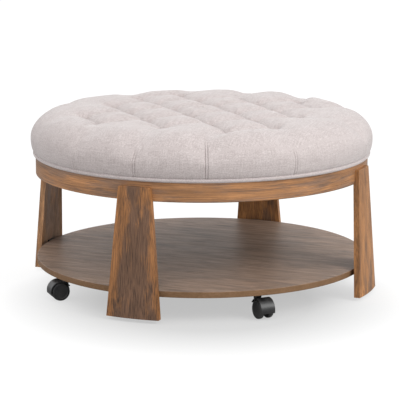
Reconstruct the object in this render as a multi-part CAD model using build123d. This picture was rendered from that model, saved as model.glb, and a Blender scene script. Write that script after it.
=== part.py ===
from build123d import *
import os
from math import asin, atan2, cos, degrees, hypot, radians, sin, sqrt

# A round tufted ottoman table: a cushion on a bent wooden apron ring, four curved legs,
# a round shelf low between them, and four twin-wheel casters under the shelf.
# Origin on the floor under the middle, +Z up, legs on the X and Y axes, millimetres.

# Apron ring and legs
ring_radius = 428.0          # outside of the ring
ring_wall = 20.0
ring_height = 49.5
ring_edge_round = 2.0
leg_thickness = 15.0
leg_top_proud = 10.3         # how far the leg's face stands outside the ring at its top
leg_bottom_proud = 29.5      # and at its foot
leg_top_width = 82.0
leg_foot_width = 136.5
leg_floor_gap = 9.0
leg_top_drop = 14.4          # leg's top below the ring's top
leg_corner_round = 4.0
leg_edge_round = 1.6

# Shelf
shelf_thickness = 15.0
shelf_edge_round = 1.5
shelf_space = 217.5          # clear height between shelf and ring
spacer_depth = 11.1          # from the shelf's edge to the legs' inner faces
spacer_width = 34.0
spacer_edge_round = 2.0

# Cushion, heights above the ring's top
crown_height = 118.0
crown_drop = 7.5             # from the middle to where the shoulder begins
shoulder_width = 83.0        # the crown's edge inside the ring's face
side_overhang = 12.0         # where the side bulges most, outside the ring's face
bulge_height = 43.0
foot_overhang = 3.0          # lower edge, above the welt
cushion_foot_height = 10.0
cover_thickness = 2.5
cover_side_thickness = 4.5
hem_overlap = 10.0           # of the turned-in cloth over the dust cover
tuft_step = 85.0             # half the diagonal of a diamond
tuft_depth = 34.0            # bottom of a dimple below the crown's top
tuft_floor = 3.0             # cloth left under a dimple
dimple_mouth_radius = 46.0
fold_depth = 17.0            # bottom of a fold below the crown's top
fold_mouth_width = 44.0
fold_bottom_width = 1.6
pleat_width = 8.0
pleat_depth = 2.5
pleat_azimuths = (0.0, 25.0, 54.0, 90.0)   # of one quarter, from -Y, mirrored to the others
cut_overrun = 8.0

# Welt, stuffing and boards inside the cushion
welt_diameter = 9.0
welt_clearance = 0.3
board_thickness = 15.0
board_clearance = 0.4
stuffing_crown = 1.5         # rise of the plain stuffing under the tufts
wadding_thickness = 8.0
wadding_clearance = 0.3
dust_cover_thickness = 1.0
dust_cover_inset = 6.0       # inside the blocks

# Buttons and their twine
button_diameter = 18.0
button_thickness = 6.0
button_rim = 1.5
twine_diameter = 2.0
twine_hole_diameter = 3.0
twine_bar_length = 12.0
twine_bar_width = 3.0
twine_bar_thickness = 1.5

# Blocks and fasteners
block_width = 64.0
block_depth = 30.0
block_height = 40.0
block_chamfer = 3.0
bolt_diameter = 6.0
bolt_hole_diameter = 6.6
bolt_head_diameter = 12.0
bolt_head_thickness = 3.6
bolt_head_round = 0.9
bolt_socket = 4.0            # across flats
bolt_socket_depth = 2.0
bolt_spacing = 34.0
bolt_engagement = 6.0        # depth of thread in the insert
washer_diameter = 16.0
washer_thickness = 1.5
insert_diameter = 9.0
insert_length = 7.5
screw_diameter = 4.5
screw_head_diameter = 9.0
screw_head_thickness = 2.5
screw_board_depth = 11.0
stud_diameter = 6.0
stud_shelf_depth = 30.0
stud_leg_depth = 10.0

# Casters
caster_inset = 42.0          # swivel axis inside the shelf's edge
caster_azimuths = (42.2, 142.2, 222.2, 322.2)   # from -Y towards +X
trail_angles = (-41.0, 52.0, 141.0, -138.0)   # way each caster trails, from +X
trail = 27.0                 # swivel axis to wheel axle
wheel_radius = 23.0
wheel_width = 12.5
wheel_gap = 13.0
wheel_round = 4.0
wheel_face_recess = 1.2
wheel_face_rim = 3.0
wheel_end_wall = 3.0
axle_diameter = 6.0
axle_end_gap = 0.5
running_clearance = 0.05
press_clearance = 0.02
plate_side = 44.0
plate_thickness = 2.5
plate_corner_round = 5.0
plate_hole_pitch = 32.0
kingpin_diameter = 8.0
kingpin_head_diameter = 13.0
kingpin_head_thickness = 1.2
kingpin_collar_diameter = 10.0
kingpin_collar_thickness = 2.0
bearing_thickness = 1.0
bearing_diameter = 17.0
swivel_gap = 0.3
hood_thickness = 2.6
hood_wheel_gap = 1.8
hood_plate_gap = 7.1         # hood's top below the mounting plate
hood_boss_diameter = 19.0
hood_boss_height = 13.0
hood_web_thickness = 7.0
hood_front_angle = 148.0     # start of the hood round the axle, from the trailing side
hood_tail_angle = -14.0
hood_edge_round = 0.8
web_floor_clearance = 17.0
caster_screw_diameter = 4.0
caster_screw_head_diameter = 8.0
caster_screw_head_thickness = 1.8
caster_screw_depth = 11.0

# Levels and radii worked out from the sizes above
caster_height = 2 * wheel_radius + hood_wheel_gap + hood_thickness + hood_plate_gap + plate_thickness
shelf_bottom = caster_height
shelf_top = shelf_bottom + shelf_thickness
ring_bottom = shelf_top + shelf_space
ring_top = ring_bottom + ring_height
leg_top = ring_top - leg_top_drop
board_bottom = ring_top + cover_thickness
board_top = board_bottom + board_thickness
ring_inner_radius = ring_radius - ring_wall
block_inner = ring_inner_radius - block_depth
dust_cover_radius = block_inner - dust_cover_inset
crown_edge_radius = ring_radius - shoulder_width
cushion_radius = ring_radius + side_overhang
cushion_foot_radius = ring_radius + foot_overhang
crown_edge_height = crown_height - crown_drop
tuft_height = crown_height - tuft_depth
fold_height = crown_height - fold_depth
stuffing_height = tuft_height - tuft_floor
stuffing_edge_height = stuffing_height - stuffing_crown
welt_ring_radius = ring_radius - welt_diameter / 2
foot_wall_radius = welt_ring_radius - welt_diameter / 2 - welt_clearance
board_radius = foot_wall_radius - cover_thickness - board_clearance
tuft_bottom = ring_top + tuft_height
cushion_reach = cushion_radius + cut_overrun
cushion_ceiling = ring_top + crown_height + cut_overrun
leg_slope = (leg_bottom_proud - leg_top_proud) / (leg_top - leg_floor_gap)
stud_level = shelf_bottom + shelf_thickness / 2
bolt_level = ring_bottom + ring_height / 2 - block_chamfer
insert_end = ring_radius + insert_length
boss_top = caster_height - plate_thickness - bearing_thickness - swivel_gap
boss_bottom = boss_top - hood_boss_height
quarter_turns = (0, 90, 180, 270)
leg_names = {0: "right", 90: "back", 180: "left", 270: "front"}
ellipse_share = sqrt(0.5)    # of each half axis, at the middle of a quarter ellipse


def leg_face(z):
    """Distance of the leg's outer face from the middle, at a level."""
    return ring_radius + leg_top_proud + (leg_top - z) * leg_slope


leg_inner_at_shelf = leg_face(stud_level) - leg_thickness
shelf_radius = leg_inner_at_shelf - spacer_depth
caster_circle_radius = shelf_radius - caster_inset


def save(name, solids):
    """Write one piece, or a group of like pieces, as its own file."""
    solids = list(solids) if isinstance(solids, (list, tuple)) else [solids]
    shape = solids[0] if len(solids) == 1 else Compound(children=solids)
    shape.label = name
    export_step(shape, f"parts/{name}.step")


def column(radius, bottom, top, x=0.0, y=0.0):
    """Upright round bar between two levels."""
    return Pos(x, y, (bottom + top) / 2) * Cylinder(radius, top - bottom)


def spoke(radius, start, end, y=0.0, z=0.0):
    """Round bar along X between two distances from the middle."""
    return Pos((start + end) / 2, y, z) * Rot(0, 90, 0) * Cylinder(radius, end - start)


def turned(solid, angle):
    """The same solid turned about the table's middle."""
    return Rot(0, 0, angle) * solid


def all_quarters(solid):
    """One copy at each of the four legs."""
    return [turned(solid, angle) for angle in quarter_turns]


def rounded_band(inner, outer, bottom, top, rounding):
    """Flat ring with its outer edges rounded."""
    with BuildPart() as band:
        with BuildSketch(Plane.XZ):
            with BuildLine():
                Polyline((inner, bottom), (outer, bottom), (outer, top), (inner, top), close=True)
            make_face()
            corners = vertices().filter_by(lambda v: v.X > (inner + outer) / 2)
            fillet(corners, rounding)
        revolve(axis=Axis.Z)
    return band.part


# Tufts lie where two families of diagonal folds cross: odd places of a square grid
def tuft_places():
    """Grid places of the tufts: odd sums, out to the crown's edge."""
    most = int(crown_edge_radius / tuft_step)
    reach = range(-most, most + 1)
    return [(i, j) for j in reach for i in reach
            if (i + j) % 2 and hypot(i, j) * tuft_step < crown_edge_radius]


def fold_lines():
    """First and last tuft along each diagonal fold."""
    lines = []
    for slope in (1, -1):
        for order in sorted({i - slope * j for i, j in tuft_places()}):
            row = sorted(p for p in tuft_places() if p[0] - slope * p[1] == order)
            if len(row) > 1:
                lines.append((row[0], row[-1]))
    return lines


def pleat_lines():
    """From each outer tuft to the place on the rim where its pleat runs down."""
    places = tuft_places()
    lines = {}
    for i, j in places:
        ahead = [(i - 1, j - 1), (i + 1, j - 1)] if -j >= i else [(i + 1, j - 1), (i + 1, j + 1)]
        if i < 0 or j > 0 or any(place in places for place in ahead):
            continue
        own = degrees(atan2(i, -j))
        azimuth = radians(min(pleat_azimuths, key=lambda angle: abs(angle - own)))
        x, y = cushion_radius * sin(azimuth), -cushion_radius * cos(azimuth)
        for side in (1, -1):
            for end in (1, -1):
                lines[(side * i, end * j)] = (side * x, end * y)
    return lines


def crown_arc(edge, top_level):
    """Shallow arc from an edge point up to the middle, its centre under the middle."""
    rise = top_level - edge[1]
    radius = (edge[0] ** 2 + rise ** 2) / (2 * rise)
    half_angle = asin(edge[0] / radius) / 2
    middle = (radius * sin(half_angle), top_level - radius * (1 - cos(half_angle)))
    return ThreePointArc(edge, middle, (0, top_level))


def quarter_middle(low, high):
    """Middle of a quarter ellipse that is upright at its low end and level at its high end."""
    return (high[0] + (low[0] - high[0]) * ellipse_share, low[1] + (high[1] - low[1]) * ellipse_share)


def crowned_form(base, wall, foot, bulge, edge, top_level):
    """Round cushion: (level, radius) of the base, then points up the side, and the crown's top."""
    with BuildPart() as form:
        with BuildSketch(Plane.XZ):
            with BuildLine():
                Polyline((0, top_level), (0, base), (wall, base), (wall, foot[1]), foot)
                ThreePointArc(foot, quarter_middle(bulge, foot), bulge)
                ThreePointArc(bulge, quarter_middle(bulge, edge), edge)
                crown_arc(edge, top_level)
            make_face()
        revolve(axis=Axis.Z)
    return form.part


def plain_cushion(inset):
    """Crowned round form with drawn-in sides, smaller all round by the inset."""
    return crowned_form(ring_top + inset, foot_wall_radius - inset,
                        (cushion_foot_radius - inset, ring_top + cushion_foot_height + inset),
                        (cushion_radius - inset, ring_top + bulge_height),
                        (crown_edge_radius, ring_top + crown_edge_height - inset),
                        ring_top + crown_height - inset)


def stuffing(inset):
    """Plain crowned form under the tufted cover, smaller all round by the inset."""
    side = cover_side_thickness + inset
    return crowned_form(board_bottom, foot_wall_radius - cover_thickness - inset,
                        (cushion_foot_radius - side, board_bottom + cushion_foot_height + inset),
                        (cushion_radius - side, ring_top + bulge_height),
                        (crown_edge_radius, ring_top + stuffing_edge_height - inset),
                        ring_top + stuffing_height - inset)


def dimple():
    """Trumpet-shaped hollow of one tuft, flaring up from its button."""
    seat, mouth = (button_diameter / 2, tuft_bottom), (dimple_mouth_radius, cushion_ceiling)
    with BuildPart() as hollow:
        with BuildSketch(Plane.XZ):
            with BuildLine():
                Polyline(mouth, (0, cushion_ceiling), (0, tuft_bottom), seat)
                ThreePointArc(seat, quarter_middle(seat, mouth), mouth)
            make_face()
        revolve(axis=Axis.Z)
    return hollow.part


def fold_channel(start, end):
    """Straight fold between two tufts: two rounded pillows meeting in a narrow bottom."""
    low, high = (fold_bottom_width / 2, ring_top + fold_height), (fold_mouth_width / 2, cushion_ceiling)
    across, up = quarter_middle(low, high)
    length = hypot(end[0] - start[0], end[1] - start[1]) * tuft_step
    with BuildPart() as channel:
        with BuildSketch(Plane.YZ):
            with BuildLine():
                Line(high, (-high[0], high[1]))
                ThreePointArc((-high[0], high[1]), (-across, up), (-low[0], low[1]))
                Line((-low[0], low[1]), low)
                ThreePointArc(low, (across, up), high)
            make_face()
        extrude(amount=length)
    angle = degrees(atan2(end[1] - start[1], end[0] - start[0]))
    return Pos(start[0] * tuft_step, start[1] * tuft_step, 0) * Rot(0, 0, angle) * channel.part


def pleat_channels():
    """Shallow channels from the outer tufts over the shoulder and down the side."""
    floor = plain_cushion(pleat_depth)
    low = ring_top + cushion_foot_height + pleat_depth
    height = cushion_ceiling - low
    channels = []
    for (i, j), (x, y) in pleat_lines().items():
        start_x, start_y = i * tuft_step, j * tuft_step
        length = hypot(x - start_x, y - start_y) + cut_overrun
        angle = degrees(atan2(y - start_y, x - start_x))
        bar = Pos(length / 2, 0, low + height / 2) * Box(length, pleat_width, height)
        channels.append(Pos(start_x, start_y, 0) * Rot(0, 0, angle) * bar - floor)
    return channels


def tufted_cushion():
    """Crowned form with its dimples, diagonal folds and side pleats."""
    hollow = dimple()
    form = plain_cushion(0) - [Pos(i * tuft_step, j * tuft_step, 0) * hollow for i, j in tuft_places()]
    form -= [fold_channel(start, end) for start, end in fold_lines()]
    return form - pleat_channels()


def twine_holes(bottom, top):
    """One narrow hole for the twine of each button."""
    radius = twine_hole_diameter / 2
    return [column(radius, bottom, top, i * tuft_step, j * tuft_step) for i, j in tuft_places()]


def block_screw_place():
    """Distance of each cushion screw from the middle."""
    return (block_inner + ring_inner_radius) / 2


def screw_holes(bottom, top, diameter):
    """Holes for the four screws that hold the cushion down."""
    hole = column(diameter / 2, bottom, top, block_screw_place())
    return all_quarters(hole)


def make_cushion():
    """Cover, wadding, foam, board and dust cover of the cushion, with welt and buttons."""
    hem_opening = column(dust_cover_radius - hem_overlap, ring_top, board_bottom)
    cover = tufted_cushion() - stuffing(0) - hem_opening
    cover -= screw_holes(ring_top, board_bottom, screw_diameter)
    save("cushion_cover", cover - twine_holes(board_top, tuft_bottom))

    below = column(cushion_reach, ring_top, board_top)
    foam = stuffing(wadding_clearance + wadding_thickness) - below
    wadding = stuffing(wadding_clearance) - foam - below
    save("wadding", wadding - twine_holes(board_top, tuft_bottom))
    save("foam_core", foam - twine_holes(board_top, tuft_bottom))

    board = column(board_radius, board_bottom, board_top)
    pilot_top = ring_top + screw_board_depth
    board -= screw_holes(board_bottom - cut_overrun, pilot_top, screw_diameter)
    save("base_board", board - twine_holes(board_bottom - cut_overrun, board_top + cut_overrun))

    cloth = column(dust_cover_radius, ring_top - dust_cover_thickness, ring_top)
    save("dust_cover", cloth)

    welt_level = ring_top + welt_diameter / 2
    save("welt_piping", Pos(0, 0, welt_level) * Torus(welt_ring_radius, welt_diameter / 2))
    make_buttons()


def make_buttons():
    """Covered buttons in the dimples and the twine that ties each through the board."""
    edge = (button_diameter / 2 - wadding_clearance, button_rim)
    with BuildPart() as button:
        with BuildSketch(Plane.XZ):
            with BuildLine():
                Polyline((0, button_thickness), (0, 0), (edge[0], 0), edge)
                crown_arc(edge, button_thickness)
            make_face()
        revolve(axis=Axis.Z)
    bar = Box(twine_bar_length, twine_bar_width, twine_bar_thickness)
    twine = column(twine_diameter / 2, board_bottom, tuft_bottom)
    twine += Pos(0, 0, board_bottom - twine_bar_thickness / 2) * bar
    buttons, ties = [], []
    for i, j in tuft_places():
        buttons.append(Pos(i * tuft_step, j * tuft_step, tuft_bottom) * button.part)
        ties.append(Pos(i * tuft_step, j * tuft_step, 0) * twine)
    save("tuft_buttons", buttons)
    save("button_ties", ties)


def bolt_places():
    """The two bolts of a leg, sideways from its middle."""
    return (-bolt_spacing / 2, bolt_spacing / 2)


def leaning_ring(outer_foot, outer_top):
    """Ring whose inner face is the legs' leaning one, from their foot to their top."""
    foot, top = leg_floor_gap, leg_top
    with BuildPart() as ring:
        with BuildSketch(Plane.XZ):
            with BuildLine():
                Polyline((leg_face(foot) - leg_thickness, foot), (outer_foot, foot), (outer_top, top),
                         (leg_face(top) - leg_thickness, top), close=True)
            make_face()
            upper_corner = vertices().filter_by(lambda v: v.Y > (foot + top) / 2).sort_by(Axis.X)[-1]
            fillet(upper_corner, leg_edge_round)
        revolve(axis=Axis.Z)
    return ring.part


def make_leg():
    """Curved tapering leg on +X: a leaning plate bent round the ring and rebated over it."""
    foot, top = leg_floor_gap, leg_top
    half_top, half_foot = leg_top_width / 2, leg_foot_width / 2
    with BuildPart() as outline:
        with BuildSketch(Plane.YZ.offset(ring_radius - ring_wall)):
            with BuildLine():
                Polyline((-half_foot, foot), (half_foot, foot), (half_top, top), (-half_top, top),
                         close=True)
            make_face()
            fillet(vertices().filter_by(lambda v: v.Y > (foot + top) / 2), leg_corner_round)
        extrude(amount=ring_wall + leg_bottom_proud + cut_overrun)
    body = leaning_ring(leg_face(foot), leg_face(top)) & outline.part
    body -= column(ring_radius, ring_bottom, ring_top)
    for y in bolt_places():
        body -= spoke(insert_diameter / 2, ring_inner_radius, insert_end, y, bolt_level)
    stud_end = leg_inner_at_shelf + stud_leg_depth
    body -= spoke(stud_diameter / 2, ring_inner_radius, stud_end, 0, stud_level)
    return body


def make_frame():
    """Ring, legs, blocks, shelf and what joins them."""
    ring = rounded_band(ring_inner_radius, ring_radius, ring_bottom, ring_top, ring_edge_round)
    holes = [spoke(bolt_hole_diameter / 2, block_inner, ring_radius + cut_overrun, y, bolt_level)
             for y in bolt_places()]
    for hole in holes:
        ring -= all_quarters(hole)
    save("apron_ring", ring)

    leg = make_leg()
    for angle, name in leg_names.items():
        save(f"leg_{name}", turned(leg, angle))

    middle = block_screw_place()
    outer = column(ring_inner_radius, ring_top - block_height, ring_top)
    depth = ring_inner_radius - block_inner
    block = Box(depth, block_width, block_height)
    block = chamfer(block.edges().filter_by(Axis.Y).group_by(Axis.Z)[0], block_chamfer)
    block = Pos(block_inner + depth / 2, 0, ring_top - block_height / 2) * block & outer
    for hole in holes:
        block -= hole
    block -= column(screw_diameter / 2, ring_top - block_height, ring_top, middle)
    save("apron_blocks", all_quarters(block))

    make_shelf()
    make_fasteners()


def make_shelf():
    """Round shelf and the black spacers between its edge and the legs."""
    shelf = rounded_band(0, shelf_radius, shelf_bottom, shelf_top, shelf_edge_round)
    hole_start, hole_end = shelf_radius - stud_shelf_depth, shelf_radius + cut_overrun
    hole = spoke(stud_diameter / 2, hole_start, hole_end, 0, stud_level)
    shelf -= all_quarters(hole)
    pilot_end = shelf_bottom + caster_screw_depth - plate_thickness
    pilots = [column(caster_screw_diameter / 2, shelf_bottom - cut_overrun, pilot_end, x, y)
              for x, y in caster_screw_places()]
    save("shelf", shelf - pilots)

    reach = leg_inner_at_shelf + leg_thickness / 2 - shelf_radius
    block = Box(reach, spacer_width, shelf_thickness - 2 * shelf_edge_round)
    block = fillet(block.edges().filter_by(Axis.X), spacer_edge_round)
    block = Pos(shelf_radius + reach / 2, 0, stud_level) * block
    spacer = block - column(shelf_radius, shelf_bottom - cut_overrun, shelf_top + cut_overrun)
    beyond = leg_face(leg_floor_gap) + leg_thickness
    spacer -= leaning_ring(beyond, beyond)
    spacer -= spoke(stud_diameter / 2, ring_inner_radius, shelf_radius + reach + cut_overrun, 0, stud_level)
    save("shelf_spacers", all_quarters(spacer))

    stud_start = shelf_radius - stud_shelf_depth
    stud = spoke(stud_diameter / 2, stud_start, leg_inner_at_shelf + stud_leg_depth, 0, stud_level)
    save("shelf_studs", all_quarters(stud))


def make_fasteners():
    """Leg bolts with washers and inserts, and the screws up into the cushion's board."""
    level = bolt_level
    bolt_end = ring_radius + bolt_engagement
    head_face = block_inner - washer_thickness
    washer = spoke(washer_diameter / 2, head_face, block_inner) \
        - spoke(bolt_hole_diameter / 2, head_face, block_inner)
    head = spoke(bolt_head_diameter / 2, head_face - bolt_head_thickness, head_face)
    head = fillet(head.edges().sort_by(Axis.X)[:1], bolt_head_round)
    socket = extrude(Plane.YZ.offset(head_face - bolt_head_thickness)
                     * RegularPolygon(bolt_socket / sqrt(3), 6), amount=bolt_socket_depth)
    bolt = head - socket + spoke(bolt_diameter / 2, head_face, bolt_end)
    insert = spoke(insert_diameter / 2, ring_radius, insert_end) \
        - spoke(bolt_diameter / 2, ring_radius, bolt_end)
    for name, piece in (("leg_bolts", bolt), ("leg_washers", washer), ("leg_inserts", insert)):
        pair = [Pos(0, y, level) * piece for y in bolt_places()]
        save(name, [turned(one, angle) for angle in quarter_turns for one in pair])

    head_level = ring_top - block_height
    place = block_screw_place()
    screw = column(screw_head_diameter / 2, head_level - screw_head_thickness, head_level, place)
    screw += column(screw_diameter / 2, head_level, ring_top + screw_board_depth, place)
    save("cushion_screws", all_quarters(screw))


def caster_place(index):
    """Swivel axis of a caster."""
    azimuth = radians(caster_azimuths[index])
    return caster_circle_radius * sin(azimuth), -caster_circle_radius * cos(azimuth)


def caster_screw_places():
    """The four screws of each plate, which sits square to its own corner of the table."""
    places = []
    half = plate_hole_pitch / 2
    for index, turn in enumerate(caster_azimuths):
        x, y = caster_place(index)
        azimuth = radians(turn)
        for u in (-half, half):
            for v in (-half, half):
                places.append((x + u * cos(azimuth) - v * sin(azimuth),
                               y + u * sin(azimuth) + v * cos(azimuth)))
    return places


def wheel_from(inner):
    """One wheel with rounded shoulders, its inner face at a distance from the middle plane."""
    outer = inner + wheel_width
    bore = axle_diameter / 2 + running_clearance
    tread = wheel_radius - wheel_round
    face = tread - wheel_face_rim
    bore_end = outer - wheel_end_wall
    with BuildPart() as wheel:
        with BuildSketch(Plane.XY):
            with BuildLine():
                Polyline((bore, inner), (tread, inner))
                RadiusArc((tread, inner), (wheel_radius, inner + wheel_round), -wheel_round)
                Line((wheel_radius, inner + wheel_round), (wheel_radius, outer - wheel_round))
                RadiusArc((wheel_radius, outer - wheel_round), (tread, outer), -wheel_round)
                Polyline((tread, outer), (face + wheel_face_recess, outer),
                         (face, outer - wheel_face_recess), (0, outer - wheel_face_recess), (0, bore_end),
                         (bore, bore_end), (bore, inner))
            make_face()
        revolve(axis=Axis.Y)
    return Pos(trail, 0, wheel_radius) * wheel.part


def hood_body():
    """Hood over both wheels, the web between them and the boss round the kingpin."""
    inner = wheel_radius + hood_wheel_gap
    outer = inner + hood_thickness
    width = wheel_gap + 2 * wheel_width
    centre = (trail, wheel_radius)
    with BuildPart() as hood:
        with BuildSketch(Plane.XZ):
            with BuildLine():
                start, span = hood_tail_angle, hood_front_angle - hood_tail_angle
                far = CenterArc(centre, outer, start, span)
                near = CenterArc(centre, inner, start, span)
                Line(far @ 0, near @ 0)
                Line(far @ 1, near @ 1)
            make_face()
        extrude(amount=width / 2, both=True)
        rims = edges().filter_by(GeomType.CIRCLE)
        fillet(rims.filter_by(lambda e: e.radius > inner + hood_thickness / 2), hood_edge_round)
    body = hood.part
    disc = Cylinder(inner + hood_thickness / 2, hood_web_thickness)
    web = Pos(trail, 0, wheel_radius) * Rot(90, 0, 0) * disc
    keep = wheel_radius * 2 + caster_height
    web -= Pos(trail, 0, web_floor_clearance - keep / 2) * Box(keep, keep, keep)
    boss_radius = hood_boss_diameter / 2
    body += web
    body += column(boss_radius, boss_bottom, boss_top)
    neck_low = wheel_radius + inner * sin(radians(hood_front_angle))
    neck = Box(boss_radius, hood_web_thickness, boss_bottom - neck_low)
    body += Pos(boss_radius / 2, 0, (boss_bottom + neck_low) / 2) * neck
    pin_bore = kingpin_diameter / 2 + running_clearance
    collar_bore = kingpin_collar_diameter / 2 + running_clearance
    collar_top = boss_bottom + kingpin_collar_thickness + swivel_gap
    body -= column(pin_bore, boss_bottom, boss_top)
    body -= column(collar_bore, boss_bottom - cut_overrun, collar_top)
    return body - axle_bar(axle_diameter / 2 + press_clearance, width)


def axle_bar(radius, length):
    """Round bar along the wheels' axis, centred between them."""
    return Pos(trail, 0, wheel_radius) * Rot(90, 0, 0) * Cylinder(radius, length)


def make_casters():
    """Plate, kingpin, bearing ring, hood, axle and two wheels at each caster."""
    plate_bottom = caster_height - plate_thickness
    half = plate_hole_pitch / 2
    plate = Pos(0, 0, plate_bottom + plate_thickness / 2) * Box(plate_side, plate_side, plate_thickness)
    plate = fillet(plate.edges().filter_by(Axis.Z), plate_corner_round)
    for u in (-half, half):
        for v in (-half, half):
            plate -= column(caster_screw_diameter / 2, plate_bottom, caster_height, u, v)
    head_level = caster_height - kingpin_head_thickness
    plate -= column(kingpin_diameter / 2 + press_clearance, plate_bottom, head_level)
    plate -= column(kingpin_head_diameter / 2 + press_clearance, head_level, caster_height)

    collar_bottom = boss_bottom
    collar_top = collar_bottom + kingpin_collar_thickness
    kingpin = column(kingpin_head_diameter / 2, head_level, caster_height)
    kingpin += column(kingpin_diameter / 2, collar_top, head_level)
    kingpin += column(kingpin_collar_diameter / 2, collar_bottom, collar_top)

    bearing_bottom = plate_bottom - bearing_thickness
    bearing = column(bearing_diameter / 2, bearing_bottom, plate_bottom)
    bearing -= column(kingpin_diameter / 2 + press_clearance, bearing_bottom, plate_bottom)

    hood = hood_body()
    axle_length = wheel_gap + 2 * (wheel_width - wheel_end_wall - axle_end_gap)
    axle = axle_bar(axle_diameter / 2, axle_length)
    wheel = wheel_from(wheel_gap / 2)
    other_wheel = mirror(wheel, about=Plane.XZ)

    for index, trail_angle in enumerate(trail_angles):
        x, y = caster_place(index)
        number = index + 1
        square = Pos(x, y, 0) * Rot(0, 0, caster_azimuths[index])
        trailing = Pos(x, y, 0) * Rot(0, 0, trail_angle)
        save(f"caster_plate_{number}", square * plate)
        save(f"caster_kingpin_{number}", square * kingpin)
        save(f"caster_bearing_{number}", square * bearing)
        save(f"caster_hood_{number}", trailing * hood)
        save(f"caster_axle_{number}", trailing * axle)
        save(f"caster_wheel_left_{number}", trailing * wheel)
        save(f"caster_wheel_right_{number}", trailing * other_wheel)

    screws = []
    for x, y in caster_screw_places():
        head_bottom = plate_bottom - caster_screw_head_thickness
        screw = column(caster_screw_head_diameter / 2, head_bottom, plate_bottom, x, y)
        screw += column(caster_screw_diameter / 2, plate_bottom, plate_bottom + caster_screw_depth, x, y)
        screws.append(screw)
    save("caster_screws", screws)


os.makedirs("parts", exist_ok=True)
make_cushion()
make_frame()
make_casters()
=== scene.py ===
from math import atan2, cos, degrees, hypot, pi, radians, sin

import bmesh
import bpy
import numpy as np
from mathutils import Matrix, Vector


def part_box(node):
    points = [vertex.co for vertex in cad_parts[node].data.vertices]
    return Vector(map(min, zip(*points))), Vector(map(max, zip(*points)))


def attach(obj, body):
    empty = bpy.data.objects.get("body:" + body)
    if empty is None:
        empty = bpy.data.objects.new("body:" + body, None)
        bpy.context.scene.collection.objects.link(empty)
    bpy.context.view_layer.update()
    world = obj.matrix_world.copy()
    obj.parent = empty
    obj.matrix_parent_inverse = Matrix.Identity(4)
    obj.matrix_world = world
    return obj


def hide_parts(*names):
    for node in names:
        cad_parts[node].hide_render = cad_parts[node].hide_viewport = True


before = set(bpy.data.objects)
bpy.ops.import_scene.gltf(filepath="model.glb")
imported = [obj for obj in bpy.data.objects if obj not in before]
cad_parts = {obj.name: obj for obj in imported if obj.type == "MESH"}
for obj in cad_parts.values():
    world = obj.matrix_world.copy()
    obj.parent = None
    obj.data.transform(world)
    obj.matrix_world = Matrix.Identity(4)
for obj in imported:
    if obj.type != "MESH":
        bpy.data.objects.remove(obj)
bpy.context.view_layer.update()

bl_info = {
    "name": "Tufted Ottoman Table",
    "version": (1, 0, 0),
    "blender": (4, 5, 0),
    "location": "View3D > Sidebar > Ottoman",
    "description": "Dresses the round tufted ottoman table: linen cushion, wood, casters and a pale studio",
    "category": "Object",
}

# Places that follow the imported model, in metres
RING_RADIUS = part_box("apron_ring")[1].x
RING_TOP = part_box("apron_ring")[1].z
BOARD_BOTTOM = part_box("base_board")[0].z
WELT_RADIUS = (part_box("welt_piping")[1].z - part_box("welt_piping")[0].z) / 2
DUST_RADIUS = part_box("dust_cover")[1].x
DUST_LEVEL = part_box("dust_cover")[0].z
BUTTON_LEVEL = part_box("tuft_buttons")[0].z
LEG_HALF_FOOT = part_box("leg_front")[1].x

# The cushion's finer sizes, in metres unless a line says otherwise
WALL_GAP = 0.0003  # between the cushion's wall and the welt's seat
HEM_INSET = 0.010  # hem on the board, inside the dust cloth's edge
CROWN_FADE = 0.012  # below the crown, where tufts have their full depth
CUSP_SHARE = 0.55  # share of a fold's reach that its sharp bottom takes
CREASE_WIDTH = 0.0034  # line at the bottom of a fold
CREASE_DEPTH = 0.0044
CREASE_REACH = 0.046  # fading of that line away from a tuft
BUTTON_SEAT = 0.007  # radius of the flat under a button
BUTTON_SINK = 0.002  # that flat above the button's underside
PLEAT_WIDTH = 0.0009  # one crease of a pleat
PLEAT_FADE = 0.024  # height over which a pleat ends
TAIL_WIDTH = 0.0042  # line from an outer tuft toward its pleat
TAIL_DEPTH = 0.0022
PUCKER_RADIUS = 0.03  # ring of wrinkles round a tuft
PUCKER_WIDTH = 0.015
GATHER_DEPTH = 0.0005  # gathers along the foot
GATHER_HEIGHT = 0.009
UNEVEN_DEPTH = 0.0012  # broad unevenness of the crown
TUFT_TURN_END = 0.075  # outside a tuft, where columns run straight down again
# Pleats of a quarter by degrees from the front leg: strength as a share, and top above the ring
PLEATS = {0.0: (1.0, 0.084), 23.1: (1.25, 0.107), 52.5: (0.8, 0.082), 90.0: (0.3, 0.06)}
LEFT_PLEATS = 0.35  # share of that strength left of the front leg
# Close columns of the mesh on each side of a pleat's middle, and how far off the even ones keep
PLEAT_COLUMNS = np.array((0.0, 1.4, 2.3, 3.0, 3.7, 4.8, 6.6, 9.6)) * 0.001
PLEAT_CLEARANCE = 0.0127
# Coarse copy whose cloth is filled with air: its columns, and the step from row to row of the fine mesh
COARSE_TURNS, COARSE_STEP = 240, 2
HELD_TUFT = (0.010, 0.030)  # from a tuft: held up to the first distance, free beyond the second
HELD_FOOT = (0.004, 0.030)  # the same above the foot
CLOTH = {"vertex_group_mass": "held", "quality": 5, "mass": 0.3, "tension_stiffness": 12.0,
         "compression_stiffness": 12.0, "shear_stiffness": 4.0, "bending_stiffness": 1.5,
         "use_pressure": True}
CLOTH_FRAMES = 20

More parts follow.
